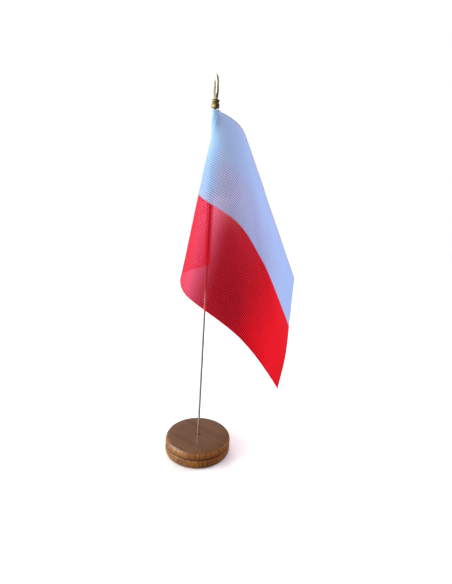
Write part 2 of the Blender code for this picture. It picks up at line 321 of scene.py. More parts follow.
def cloth_material(name, light, deep, glow, translucency, clearness, hole_edge, sheen):
    """An open knit: rows of small holes between the yarns, which show some of what is behind.

    The cloth's flat coordinates are in its UV map, in metres.
    """
    specular, tint = sheen
    tree = Tree(name).set(Roughness=0.55, Specular_IOR_Level=specular, Sheen_Weight=0.05, Sheen_Roughness=0.4)
    tree.set(Specular_Tint=(*tint, 1.0))
    flat = tree.coordinates("UV")
    u, v, _ = tree.split(flat)
    wave = math.tau / MESH_PITCH
    columns = tree.math("COSINE", tree.math("MULTIPLY", u, wave))
    courses = tree.math("COSINE", tree.math("MULTIPLY", v, wave))
    weave = tree.math("MULTIPLY_ADD", tree.math("ADD", columns, courses), 0.25, 0.5)
    yarn_u = tree.math("SINE", tree.math("MULTIPLY", u, math.tau / YARN_PITCH))
    yarn_v = tree.math("SINE", tree.math("MULTIPLY", v, math.tau / YARN_PITCH))
    yarn = tree.math("MULTIPLY", yarn_u, yarn_v)
    fuzz = tree.noise(flat, 900.0, 3.0, 0.6)
    slub = tree.noise(tree.mapped(flat, scale=(30.0, 700.0, 1.0)), 1.0, 2.0)
    cloud = tree.noise(flat, 22.0, 3.0)
    tone = tree.math("MULTIPLY_ADD", weave, 0.60, tree.math("MULTIPLY", fuzz, 0.25))
    tone = tree.math("MULTIPLY_ADD", slub, 0.25, tone)
    fly = tree.ramp(u, *FLY_DENSE_AND_PAINTED_LIGHT, 1.0, FLY_OPENNESS)
    edge = tree.ramp(v, *EDGE_DENSE_AND_PAINTED_LIGHT, EDGE_OPENNESS, 1.0)
    openness = tree.math("MULTIPLY", fly, edge)
    # Painted light, partly the knit's own density: where the knit closes up, less of the deep colour is
    # painted, so those parts read paler, as if lit
    depth = tree.math("MULTIPLY_ADD", openness, 0.75, 0.25)
    # Painted shade, partly the knit's own pattern: the cloth takes its deep colour in and round its holes,
    # where the dark behind them would show through
    shade = tree.mix(tree.math("MULTIPLY", tree.ramp(tone, 0.20, 0.85), depth), light, deep)
    shade = tree.mix(tree.ramp(cloud, 0.35, 0.75, 0.0, 0.15), shade, deep)
    tree.colour(shade)
    height = tree.math("MULTIPLY_ADD", yarn, 0.15, tree.math("MULTIPLY", weave, -0.8))
    normal = tree.bump(height, 0.40, 0.00012)
    through = tree.nodes.new("ShaderNodeBsdfTranslucent")
    tree.link(tree.mix(0.8, shade, glow), through.inputs["Color"])
    tree.link(normal, through.inputs["Normal"])
    body = tree.nodes.new("ShaderNodeMixShader")
    body.inputs[0].default_value = translucency
    tree.link(tree.shader.outputs[0], body.inputs[1])
    tree.link(through.outputs[0], body.inputs[2])
    gap = tree.nodes.new("ShaderNodeBsdfTransparent")
    knit = tree.nodes.new("ShaderNodeMixShader")
    torn = tree.math("MULTIPLY_ADD", tree.math("SUBTRACT", fuzz, 0.5), 0.12, weave)
    clear = tree.math("MULTIPLY", openness, clearness)
    tree.link(tree.ramp(torn, *hole_edge, 0.0, clear), knit.inputs[0])
    tree.link(body.outputs[0], knit.inputs[1])
    tree.link(gap.outputs[0], knit.inputs[2])
    tree.link(knit.outputs[0], tree.output.inputs["Surface"])
    return tree.material


def thread_material(name, light, deep):
    tree = Tree(name).set(Roughness=0.6, Sheen_Weight=0.2)
    places = tree.coordinates()
    twist = tree.noise(tree.mapped(places, scale=(900.0, 900.0, 5200.0)), 1.0, 3.0)
    tree.colour(tree.mix(tree.ramp(twist, 0.3, 0.7), deep, light))
    tree.bump(twist, 0.4, 0.00005)
    return tree.material


# ---------------------------------------------------------------- mesh helpers
def new_piece(name, shape, body, materials, smooth_angle=35.0):
    mesh = bpy.data.meshes.new(name)
    shape.to_mesh(mesh)
    shape.free()
    for material in materials:
        mesh.materials.append(material)
    mesh.shade_smooth()
    mesh.set_sharp_from_angle(angle=math.radians(smooth_angle))
    piece = bpy.data.objects.new(name, mesh)
    bpy.context.scene.collection.objects.link(piece)
    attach(piece, body)
    return piece


def arc(centre_r, centre_z, depth, height, start, end, steps):
    """Points (r, z) along an ellipse's arc, from start to end in degrees."""
    points = []
    for step in range(steps + 1):
        angle = math.radians(start + (end - start) * step / steps)
        points.append((centre_r + depth * math.cos(angle), centre_z + height * math.sin(angle)))
    return points


def turn(profile, steps):
    """Turns a profile of (r, z) points round the Z axis. It starts and ends on the axis."""
    shape = bmesh.new()
    points = [shape.verts.new((r, 0.0, z)) for r, z in profile]
    edges = [shape.edges.new(pair) for pair in zip(points, points[1:])]
    bmesh.ops.spin(shape, geom=points + edges, cent=(0, 0, 0), axis=(0, 0, 1), angle=math.tau,
                   steps=steps, use_merge=True)
    bmesh.ops.remove_doubles(shape, verts=shape.verts, dist=1e-6)
    bmesh.ops.recalc_face_normals(shape, faces=shape.faces)
    return shape


def catmull(values, place):
    """A smooth curve through evenly spaced rows of values, at 0 to 1."""
    values = np.asarray(values, float)
    last = len(values) - 1
    at = np.clip(place, 0.0, 1.0) * last
    first = np.minimum(at.astype(int), last - 1)
    part = (at - first)[..., None]
    padded = np.concatenate([2 * values[:1] - values[1:2], values, 2 * values[-1:] - values[-2:-1]])
    before, start, end, after = (padded[first + offset] for offset in range(4))
    return 0.5 * (
        2 * start
        + (end - before) * part
        + (2 * before - 5 * start + 4 * end - after) * part**2
        + (3 * start - before - 3 * end + after) * part**3
    )


def smooth_step(value):
    value = np.clip(value, 0.0, 1.0)
    return value * value * (3.0 - 2.0 * value)


def unit(vectors):
    return vectors / np.linalg.norm(vectors, axis=-1, keepdims=True)


# ---------------------------------------------------------------- wooden base
SHOULDER_DROP = 0.0049
SHOULDER_DEPTH = 0.0036
SHOULDER_START = 74.0
GROOVE_RISE = 0.0093              # from the disc's foot
GROOVE_HALF = 0.0007
GROOVE_DEPTH = 0.0017
LIP_DEPTH = 0.0007
LOWER_LINE = 0.0051
FOOT_DEPTH = 0.0022
SOCKET_RADIUS = 0.0012
SOCKET_DEPTH = 0.0120
MOUTH_CHAMFER = 0.0003
RECESS_RADIUS = 0.0268
RECESS_DEPTH = 0.0008
DISC_STEPS = 192


def base_profile():
    lip = DISC_RADIUS - LIP_DEPTH
    upper = DISC_TOP - SHOULDER_DROP
    groove = DISC_FOOT + GROOVE_RISE
    lower = DISC_FOOT + LOWER_LINE
    shoulder = SHOULDER_DROP / math.sin(math.radians(SHOULDER_START))
    floor = DISC_TOP - SOCKET_DEPTH
    profile = [(0.0, floor), (SOCKET_RADIUS, floor), (SOCKET_RADIUS, DISC_TOP - MOUTH_CHAMFER)]
    profile += [(SOCKET_RADIUS + MOUTH_CHAMFER, DISC_TOP)]
    profile += [(0.010, DISC_TOP), (0.020, DISC_TOP)]
    profile += arc(DISC_RADIUS - SHOULDER_DEPTH, upper, SHOULDER_DEPTH, shoulder, SHOULDER_START, 0.0, 20)
    profile += arc(lip, upper, LIP_DEPTH, upper - groove - GROOVE_HALF, 0.0, -90.0, 10)[1:]
    profile += [(DISC_RADIUS - GROOVE_DEPTH, groove + 0.0001), (DISC_RADIUS - GROOVE_DEPTH, groove - 0.0001)]
    profile += arc(lip, lower, LIP_DEPTH, groove - GROOVE_HALF - lower, 90.0, 0.0, 10)
    profile += arc(DISC_RADIUS - FOOT_DEPTH, lower, FOOT_DEPTH, lower - DISC_FOOT, 0.0, -90.0, 14)[1:]
    profile += [(RECESS_RADIUS, DISC_FOOT), (RECESS_RADIUS, DISC_FOOT + RECESS_DEPTH)]
    profile += [(0.0, DISC_FOOT + RECESS_DEPTH)]
    return profile


def make_base(wood):
    piece = new_piece("turned_base", turn(base_profile(), DISC_STEPS), "base", [wood], 28.0)
    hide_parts("base_disc")


# ---------------------------------------------------------------- rod
ROD_CHAMFER = 0.0003


def make_rod(steel):
    low, high = ROD_LOW.z, ROD_HIGH.z
    profile = [(0.0, high), (ROD_RADIUS - ROD_CHAMFER, high), (ROD_RADIUS, high - ROD_CHAMFER)]
    profile += [(ROD_RADIUS, high + (low - high) * step / 12) for step in range(1, 12)]
    profile += [(ROD_RADIUS, low + ROD_CHAMFER), (ROD_RADIUS - ROD_CHAMFER, low), (0.0, low)]
    piece = new_piece("steel_rod", turn(profile, 48), "mast", [steel])
    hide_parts("rod")


# ---------------------------------------------------------------- finial
COLLAR_RADIUS = COLLAR_HIGH.x
LIP_RADIUS = 0.0027
WAIST_RADIUS = 0.0026
RING_RADIUS = 0.0033
NECK_RADIUS = 0.0020
BARREL_LINE, WAIST_LINE, RING_LINE = 0.30, 0.60, 0.76   # shares of the collar's height
BORE_RADIUS = 0.00125
BORE_DEPTH = 0.0062
TANG_HOLE = 0.0009
TANG_RADIUS = 0.0007
TANG_LENGTH = 0.0015
TANG_GAP = 0.0003                 # between the blade's foot and the collar
BEAD_COUNT = 26
BEAD_DEPTH = 0.00016
SPEAR_SIDES = 40
SPEAR_RINGS = 56
SPEAR_TURN = -80.0
BLADE_WIDTHS = (0.0021, 0.0034, 0.0043, 0.0046, 0.0043, 0.0036, 0.0025, 0.0013, 0.0002)
BLADE_THICKNESSES = (0.0018, 0.0020, 0.0022, 0.0022, 0.0020, 0.0019, 0.0017, 0.0013, 0.0002)
BLADE_EDGE = 1.22                 # 1 is a diamond with sharp ridges, 2 an ellipse


def collar_profile():
    foot, top = COLLAR_LOW.z, COLLAR_HIGH.z
    barrel = foot + BARREL_LINE * COLLAR_HEIGHT
    waist = foot + WAIST_LINE * COLLAR_HEIGHT
    ring = foot + RING_LINE * COLLAR_HEIGHT
    profile = [(0.0, top - TANG_LENGTH), (TANG_HOLE, top - TANG_LENGTH), (TANG_HOLE, top)]
    profile += [(NECK_RADIUS - 0.0002, top), (NECK_RADIUS, top - 0.0002)]
    profile += arc(WAIST_RADIUS, ring, RING_RADIUS - WAIST_RADIUS, ring - waist - 0.0003, 75.0, -75.0, 16)
    profile += [(WAIST_RADIUS, waist + 0.0001), (WAIST_RADIUS, waist - 0.0001)]
    profile += arc(WAIST_RADIUS, barrel, COLLAR_RADIUS - WAIST_RADIUS, waist - barrel - 0.0003, 80.0, 0.0, 12)
    profile += arc(LIP_RADIUS, barrel, COLLAR_RADIUS - LIP_RADIUS, barrel - foot, 0.0, -90.0, 12)[1:]
    profile += [(BORE_RADIUS, foot), (BORE_RADIUS, foot + BORE_DEPTH), (0.0, foot + BORE_DEPTH)]
    return profile


def bead_the_ring(shape):
    """Fine beads round the collar's upper ring."""
    ring = COLLAR_LOW.z + RING_LINE * COLLAR_HEIGHT
    for vert in shape.verts:
        radius = math.hypot(vert.co.x, vert.co.y)
        near = 1.0 - abs(vert.co.z - ring) / (0.15 * COLLAR_HEIGHT)
        if radius > WAIST_RADIUS and near > 0.0:
            angle = math.atan2(vert.co.y, vert.co.x)
            dip = BEAD_DEPTH * near * (0.5 - 0.5 * math.cos(BEAD_COUNT * angle))
            vert.co.x *= 1.0 - dip / radius
            vert.co.y *= 1.0 - dip / radius


def make_collar(brass):
    shape = turn(collar_profile(), BEAD_COUNT * 6)
    bead_the_ring(shape)
    piece = new_piece("turned_collar", shape, "finial", [brass], 30.0)
    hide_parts("finial_collar")


def blade_ring(half_width, half_thickness):
    points = []
    for side in range(SPEAR_SIDES):
        angle = math.tau * side / SPEAR_SIDES
        cos, sin = math.cos(angle), math.sin(angle)
        power = 2.0 / BLADE_EDGE
        points.append((
            half_width * math.copysign(abs(cos) ** power, cos),
            half_thickness * math.copysign(abs(sin) ** power, sin),
        ))
    return points


def make_spear(brass):
    shape = bmesh.new()
    foot = SPEAR_LOW.z + TANG_LENGTH + TANG_GAP
    height = SPEAR_HIGH.z - foot
    steps = np.linspace(0.0, 1.0, SPEAR_RINGS)
    sizes = catmull(list(zip(BLADE_WIDTHS, BLADE_THICKNESSES)), steps)
    rings = []
    for z in (SPEAR_LOW.z, foot):
        ring = []
        for side in range(SPEAR_SIDES):
            angle = math.tau * side / SPEAR_SIDES
            ring.append(shape.verts.new((TANG_RADIUS * math.cos(angle), TANG_RADIUS * math.sin(angle), z)))
        rings.append(ring)
    for step, size in zip(steps, sizes):
        rings.append([shape.verts.new((x, y, foot + step * height)) for x, y in blade_ring(*size)])
    for lower, upper in zip(rings, rings[1:]):
        for side in range(SPEAR_SIDES):
            after = (side + 1) % SPEAR_SIDES
            shape.faces.new((lower[side], lower[after], upper[after], upper[side]))
    shape.faces.new(rings[0])
    shape.faces.new(rings[-1])
    bmesh.ops.recalc_face_normals(shape, faces=shape.faces)
    turned = Matrix.Rotation(math.radians(SPEAR_TURN), 3, "Z")
    bmesh.ops.rotate(shape, verts=shape.verts, cent=(0, 0, 0), matrix=turned)
    piece = new_piece("spear_blade", shape, "finial", [brass], 40.0)
    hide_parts("finial_spear")


# ---------------------------------------------------------------- flag
# How far each ray of cloth from the top corner leans to +X and to +Y, from the top edge down to the hoist.
# These seven pairs were fitted, not designed: they are the control points of a smooth curve.
DRAPE = (
    (0.358, 0.342),
    (0.318, 0.090),
    (0.256, -0.167),
    (0.127, -0.399),
    (-0.086, -0.416),
    (-0.134, -0.187),
    (0.000, 0.000),
)
STAND_OUT = 1.8                   # how strongly the top edge stands out before it drops
STAND_OUT_LENGTH = 0.041
STAND_OUT_HEADING = 18.0          # degrees from +X towards +Y
NEAR_STEPS = 16
CLOTH_THICKNESS = 0.00025
SLEEVE_ROUND = (0.0027, 0.0027, 0.0004)   # the sleeve at its top: half width, half thickness, offset
SLEEVE_FLAT = (0.0039, 0.0013, -0.0003)   # and lower down, where it has collapsed
SLEEVE_COLLAPSE = (0.006, 0.040)          # the depths between which it collapses
SLEEVE_GIRTH = 0.0170
SLEEVE_COLUMNS = 32
SEAM = 0.0037                     # from the rod's axis to the sleeve's seam, along the cloth
SEAM_HEADINGS = (-40.0, -126.0)   # degrees from +X that the cloth leaves the sleeve, at its top and below
SEAM_SWING = (0.000, 0.030)       # the depths between which it swings round
CLOTH_COLUMNS = 96
RELAX_ROUNDS = 220
RELAX_HOLD = 0.03                 # how firmly the cloth keeps its first shape, away from the top corner
RELAX_STIFFNESS = 0.20
CLOTH_ROWS = 72


def cloth_points(along, down):
    """Where flat cloth's points (along the top edge, down the hoist) hang.

    The cloth is a cone of straight rays from the top corner at the rod. Near that corner each ray
    first stands out to the side, most of all along the top edge.
    """
    reach = np.hypot(along, down)
    angle = np.arctan2(down, along)
    lean = catmull(DRAPE, angle / (math.pi / 2))
    drop = -np.sqrt(1.0 - (lean**2).sum(-1, keepdims=True))
    ray = np.concatenate([lean, drop], -1)
    heading = math.radians(STAND_OUT_HEADING)
    outward = np.array([math.cos(heading), math.sin(heading), 0.0])
    strength = STAND_OUT * np.maximum(np.cos(angle), 0.0) ** 3
    near = np.minimum(reach, STAND_OUT_LENGTH)
    place = np.zeros(along.shape + (3,)) + np.array([0.0, 0.0, SLEEVE_TOP])
    for step in range(NEAR_STEPS):
        travelled = near * (step + 0.5) / NEAR_STEPS
        fade = smooth_step(1.0 - travelled / STAND_OUT_LENGTH)
        way = unit(ray + outward * (strength * fade)[..., None])
        place += way * (near / NEAR_STEPS)[..., None]
    return place + ray * (reach - near)[..., None]


def surface_normals(grid):
    """One unit normal for each point of a grid of places, rows first."""
    across = np.gradient(grid, axis=1)
    below = np.gradient(grid, axis=0)
    return unit(np.cross(across, below))


def sleeve_row(seam_point, down):
    """One row of the sleeve: from the seam, round the rod, and back to just before the seam."""
    axis = np.array([0.0, 0.0, SLEEVE_TOP - down])
    out = seam_point - axis
    out[2] = 0.0
    seam_reach = np.linalg.norm(out)
    out /= seam_reach
    side = np.array([-out[1], out[0], 0.0])
    part = smooth_step((down - SLEEVE_COLLAPSE[0]) / (SLEEVE_COLLAPSE[1] - SLEEVE_COLLAPSE[0]))
    width, thickness, offset = np.array(SLEEVE_ROUND) * (1.0 - part) + np.array(SLEEVE_FLAT) * part
    far = width - offset
    row = []
    for step in range(SLEEVE_COLUMNS):
        angle = math.tau * step / SLEEVE_COLUMNS
        toward = 0.5 + 0.5 * math.cos(angle)
        reach = seam_reach * toward - far * (1.0 - toward)
        pinch = 1.0 - 0.85 * toward**5
        place = axis + out * reach + side * thickness * math.sin(angle) * pinch
        place += side * CLOTH_THICKNESS * (1.0 - 2.0 * step / SLEEVE_COLUMNS) * toward**5
        place[2] = axis[2] + (seam_point[2] - axis[2]) * toward
        row.append(place)
    return row


def seam_points(down):
    """The seam keeps a steady distance from the rod's axis, and swings round below the sleeve's top."""
    part = smooth_step((down - SEAM_SWING[0]) / (SEAM_SWING[1] - SEAM_SWING[0]))
    heading = np.radians(SEAM_HEADINGS[0] + (SEAM_HEADINGS[1] - SEAM_HEADINGS[0]) * part)
    return np.stack([SEAM * np.cos(heading), SEAM * np.sin(heading), SLEEVE_TOP - down], -1)


def relaxed(places, flat):
    """Evens out the cloth's stretch: neighbours are drawn to their distance apart on the flat cut."""
    start = places.copy()
    reach = np.hypot(flat[..., 0], flat[..., 1])[..., None]
    hold = RELAX_HOLD * smooth_step(reach / STAND_OUT_LENGTH - 0.2)
    free = np.ones(places.shape[:2])[..., None]
    free[:, 0] = 0.0
    free[0] = 0.0
    for _ in range(RELAX_ROUNDS):
        push = np.zeros_like(places)
        for down, across, weight in ((0, 1, 0.25), (1, 0, 0.25), (1, 1, 0.08), (1, -1, 0.08)):
            rows, columns = places.shape[:2]
            near = (slice(0, rows - down), slice(max(0, -across), columns - max(0, across)))
            far = (slice(down, rows), slice(max(0, across), columns + min(0, across)))
            way = places[far] - places[near]
            length = np.linalg.norm(way, axis=-1, keepdims=True)
            rest = np.linalg.norm(flat[far] - flat[near], axis=-1, keepdims=True)
            pull = way * (1.0 - rest / length) * weight
            push[near] += pull
            push[far] -= pull
        inner = (slice(1, -1), slice(1, -1))
        around = places[:-2, 1:-1] + places[2:, 1:-1] + places[1:-1, :-2] + places[1:-1, 2:]
        push[inner] += (around / 4.0 - places[inner]) * RELAX_STIFFNESS
        push += (start - places) * hold
        places = places + push * free
    return places


def flag_grid():
    """Places and flat coordinates of the whole cloth, row by row, the sleeve's turn first."""
    down = np.linspace(0.0, FLAG_HEIGHT, CLOTH_ROWS + 1)
    along = SEAM + (FLAG_LENGTH - SEAM) * np.linspace(0.0, 1.0, CLOTH_COLUMNS + 1)
    along_grid, down_grid = np.meshgrid(along, down)
    free = cloth_points(along_grid, down_grid)
    free[:, 0] = seam_points(down)
    free = relaxed(free, np.stack([along_grid, down_grid], -1))
    sleeve = np.array([sleeve_row(free[row, 0], down[row]) for row in range(CLOTH_ROWS + 1)])
    wrap = SEAM + np.linspace(-SLEEVE_GIRTH, 0.0, SLEEVE_COLUMNS, endpoint=False)
    wrap_grid, wrap_down = np.meshgrid(wrap, down)
    places = np.concatenate([sleeve, free], 1)
    flat = np.stack([
        np.concatenate([wrap_grid, along_grid], 1),
        np.concatenate([wrap_down, down_grid], 1),
    ], -1)
    return places, flat


def grid_mesh(name, places, flat):
    """A mesh of quads, with its flat coordinates as UVs."""
    rows, columns = places.shape[:2]
    index = np.arange(rows * columns).reshape(rows, columns)
    quads = np.stack([index[:-1, :-1], index[1:, :-1], index[1:, 1:], index[:-1, 1:]], -1).reshape(-1, 4)
    mesh = bpy.data.meshes.new(name)
    mesh.from_pydata(places.reshape(-1, 3).tolist(), [], quads.tolist())
    layer = mesh.uv_layers.new(name="flat")
    corners = np.empty(len(mesh.loops), dtype=np.int32)
    mesh.loops.foreach_get("vertex_index", corners)
    layer.data.foreach_set("uv", flat.reshape(-1, 2)[corners].astype(np.float32).ravel())
    mesh.shade_smooth()
    return mesh


# ---------------------------------------------------------------- flag: settling by simulation
SETTLE_FRAMES = 14
SETTLE_CAP = 0.004                # no point moves further than this
SETTLE_HOLD = 0.10                # how firmly the free cloth is held to its first shape
SETTLE_FIRM = 0.90                # and how firmly near the top corner, between these distances from it
SETTLE_FIRM_REACH = (0.030, 0.110)
SETTLE_QUALITY = 5
POINT_MASS = 0.001
TENSION, COMPRESSION, SHEAR, BENDING = 15.0, 10.0, 5.0, 0.6
AIR_DAMPING = 4.0
PIN_STIFFNESS = 0.05


def settled(places, flat):
    """Lets the cloth sag under its weight, held by its sleeve, with Blender's cloth simulation."""
    mesh = grid_mesh("settling_cloth", places, flat)
    piece = bpy.data.objects.new("settling_cloth", mesh)
    bpy.context.scene.collection.objects.link(piece)
    held = piece.vertex_groups.new(name="held")
    reach = np.hypot(flat[..., 0], flat[..., 1])
    near, far = SETTLE_FIRM_REACH
    loose = smooth_step((reach - near) / (far - near))
    firm = SETTLE_HOLD + (SETTLE_FIRM - SETTLE_HOLD) * (1.0 - loose)
    firm[:, :SLEEVE_COLUMNS + 1] = 1.0
    for index, weight in enumerate(firm.ravel()):
        held.add([index], float(weight), "REPLACE")
    cloth = piece.modifiers.new("cloth", "CLOTH")
    settings = cloth.settings
    settings.quality = SETTLE_QUALITY
    settings.mass = POINT_MASS
    settings.tension_stiffness = TENSION
    settings.compression_stiffness = COMPRESSION
    settings.shear_stiffness = SHEAR
    settings.bending_stiffness = BENDING
    settings.air_damping = AIR_DAMPING
    settings.vertex_group_mass = "held"
    settings.pin_stiffness = PIN_STIFFNESS
    cloth.collision_settings.use_collision = False
    cloth.collision_settings.use_self_collision = False
    cloth.point_cache.frame_start = 1
    cloth.point_cache.frame_end = SETTLE_FRAMES
    for moment in range(1, SETTLE_FRAMES + 1):
        bpy.context.scene.frame_set(moment)
    result = piece.evaluated_get(bpy.context.evaluated_depsgraph_get()).to_mesh()
    moved = np.empty(len(result.vertices) * 3, dtype=np.float32)
    result.vertices.foreach_get("co", moved)
    shift = moved.reshape(places.shape) - places
    size = np.linalg.norm(shift, axis=-1, keepdims=True)
    bpy.data.objects.remove(piece, do_unlink=True)
    bpy.context.scene.frame_set(1)
    return places + shift * np.minimum(1.0, SETTLE_CAP / np.maximum(size, 1e-9))


# ---------------------------------------------------------------- flag: cut edges and stitches
BEAD_RADII = {"top": 0.00034, "foot": 0.00022}   # of the edge that a hot knife leaves on the cloth
FLY_BEAD_RADIUS = 0.00020
THREAD_RADIUS = 0.00016
STITCH_LENGTH = 0.0021
STITCH_PITCH = 0.0028
STITCH_MARGIN = 0.0020            # from the cloth's top and foot to the first stitch
STITCH_POINTS = 7
TUBE_SIDES = 6


def add_tube(shape, path, radius):
    """A closed round tube along a path of points."""
    ways = unit(np.gradient(path, axis=0))
    across = np.zeros(3)
    across[np.abs(ways[0]).argmin()] = 1.0
    rings = []
    for place, way in zip(path, ways):
        across = unit(across - way * (across @ way))
        third = np.cross(way, across)
        ring = []
        for side in range(TUBE_SIDES):
            angle = math.tau * side / TUBE_SIDES
            outward = across * math.cos(angle) + third * math.sin(angle)
            ring.append(shape.verts.new(place + radius * outward))
        rings.append(ring)
    for here, after in zip(rings, rings[1:]):
        for side in range(TUBE_SIDES):
            following = (side + 1) % TUBE_SIDES
            shape.faces.new((here[side], here[following], after[following], after[side]))
    shape.faces.new(rings[0])
    shape.faces.new(rings[-1])


def tube_piece(name, paths, radius, material):
    shape = bmesh.new()
    for path in paths:
        add_tube(shape, path, radius)
    bmesh.ops.recalc_face_normals(shape, faces=shape.faces)
    piece = new_piece(name, shape, "flag", [material], 60.0)
    return piece


def seam_stitches(places, flat):
    """Short bowed stitches down both sides of the sleeve's seam, which dip into the cloth at their ends."""
    seam = places[:, SLEEVE_COLUMNS]
    normals = surface_normals(places)[:, SLEEVE_COLUMNS]
    down = flat[:, SLEEVE_COLUMNS, 1]
    paths = []
    start = down[0] + STITCH_MARGIN
    while start + STITCH_LENGTH < down[-1] - STITCH_MARGIN:
        share = np.linspace(0.0, 1.0, STITCH_POINTS)
        at = start + STITCH_LENGTH * share
        middle = np.stack([np.interp(at, down, seam[:, axis]) for axis in range(3)], -1)
        normal = unit(np.stack([np.interp(at, down, normals[:, axis]) for axis in range(3)], -1))
        rise = (CLOTH_THICKNESS + THREAD_RADIUS * 0.5) * np.sin(math.pi * share) ** 0.5
        for face in (1.0, -1.0):
            paths.append(middle + normal * (face * rise)[:, None])
        start += STITCH_PITCH
    return paths


def make_flag(white, red, threads):
    """Two halves, cut from one settled sheet along the line between the colours."""
    places, flat = flag_grid()
    places = settled(places, flat)
    middle = CLOTH_ROWS // 2
    halves = (
        ("white", slice(0, middle + 1), white, ("flag_white", "sleeve_white"), ("top", 0)),
        ("red", slice(middle, None), red, ("flag_red", "sleeve_red"), ("foot", -1)),
    )
    for colour, rows, material, nodes, (edge, edge_row) in halves:
        part, part_flat = places[rows], flat[rows]
        mesh = grid_mesh(f"flag_{colour}_half", part, part_flat)
        mesh.materials.append(material)
        piece = bpy.data.objects.new(f"flag_{colour}_half", mesh)
        bpy.context.scene.collection.objects.link(piece)
        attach(piece, "flag")
        apply_modifier(piece, "SUBSURF", levels=1, render_levels=1, boundary_smooth="PRESERVE_CORNERS")
        apply_modifier(piece, "SOLIDIFY", thickness=CLOTH_THICKNESS, offset=0.0)
        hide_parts(*nodes)
        thread = threads[colour]
        cut = part[edge_row, SLEEVE_COLUMNS:]
        stitches = seam_stitches(part, part_flat)
        trims = [
            tube_piece(f"{edge}_edge_bead", [cut], BEAD_RADII[edge], threads[edge]),
            tube_piece(f"fly_edge_bead_{colour}", [part[:, -1]], FLY_BEAD_RADIUS, thread),
            tube_piece(f"seam_stitches_{colour}", stitches, THREAD_RADIUS, thread),
        ]


def apply_modifier(piece, kind, **settings):
    modifier = piece.modifiers.new(kind.lower(), kind)
    for key, value in settings.items():
        setattr(modifier, key, value)
    graph = bpy.context.evaluated_depsgraph_get()
    mesh = bpy.data.meshes.new_from_object(piece.evaluated_get(graph))
    piece.modifiers.clear()
    piece.data = mesh


# ---------------------------------------------------------------- floor, light and air
FLOOR_RADIUS = 1.5
FLOOR_FADE = (0.35, 1.1)          # the distances between which the floor melts into the white backdrop
FLOOR_TONE = 0.92
# An invented dim room, its light and shade painted as emitted colour, which the camera sees only through the
# cloth's holes. First its floor, close by and further off
ROOM_NEAR = (0.030, 0.010, 0.015)
ROOM_FAR = (0.14, 0.025, 0.045)
ROOM_REACH = (0.45, 1.10)
ROOM_END = (0.90, 1.50)           # where that floor melts into the foot of the room's wall
ROOM_LIT = (1.00, 0.28, 0.50)     # the lit part of the room's floor, to the left
ROOM_LIT_SIDE = (-0.11, -0.02)
ROOM_WALL_LOW = (0.46, 0.17, 0.15)  # and the room's far wall, at its foot and higher up
ROOM_WALL_HIGH = (0.62, 0.56, 0.72)
ROOM_WALL_RISE = (-0.15, -0.04)
ROOM_LIGHT = (1.00, 0.93, 0.90)   # the light that comes from all round
# How strong that light is by its direction: between two values of z or x, from one strength to another
ROOM_LIGHT_SHARES = {"Z": (-0.6, 0.8, 0.12, 0.36), "X": (-0.8, 0.1, 0.55, 0.0)}
STUDIO_MIDDLE = (0.02, 0.0, 0.20)
# Each light: how far round from +X and how high it stands, its distance, size, strength and colour,
# and whether shiny surfaces show it
LIGHTS = {
    "window": (198.0, 14.0, 1.1, 0.9, 1.48, (0.90, 1.00, 1.00), True),
    "far_window": (20.0, 13.0, 1.1, 0.6, 1.12, (0.80, 0.78, 0.94), False),
    "back_wall": (105.0, 16.0, 1.2, 0.8, 0.60, (1.00, 0.80, 0.86), False),
    "room_light": (262.0, 10.0, 1.2, 0.9, 0.24, (1.00, 0.72, 0.66), True),
    "ceiling": (270.0, 84.0, 1.3, 1.2, 0.35, (1.00, 0.98, 0.95), False),
}
FULL_WHITE = math.pi**2           # watts that light a white surface fully from one metre


def plain_view(nodes, links):
    """Two values: 1 for all that the camera sees, and 1 for what it sees with no cloth between."""
    path = nodes.new("ShaderNodeLightPath")
    straight = nodes.new("ShaderNodeMath")
    straight.operation = "LESS_THAN"
    links.new(path.outputs["Transparent Depth"], straight.inputs[0])
    straight.inputs[1].default_value = 0.5
    both = nodes.new("ShaderNodeMath")
    both.operation = "MULTIPLY"
    links.new(path.outputs["Is Camera Ray"], both.inputs[0])
    links.new(straight.outputs[0], both.inputs[1])
    return path.outputs["Is Camera Ray"], both.outputs[0]


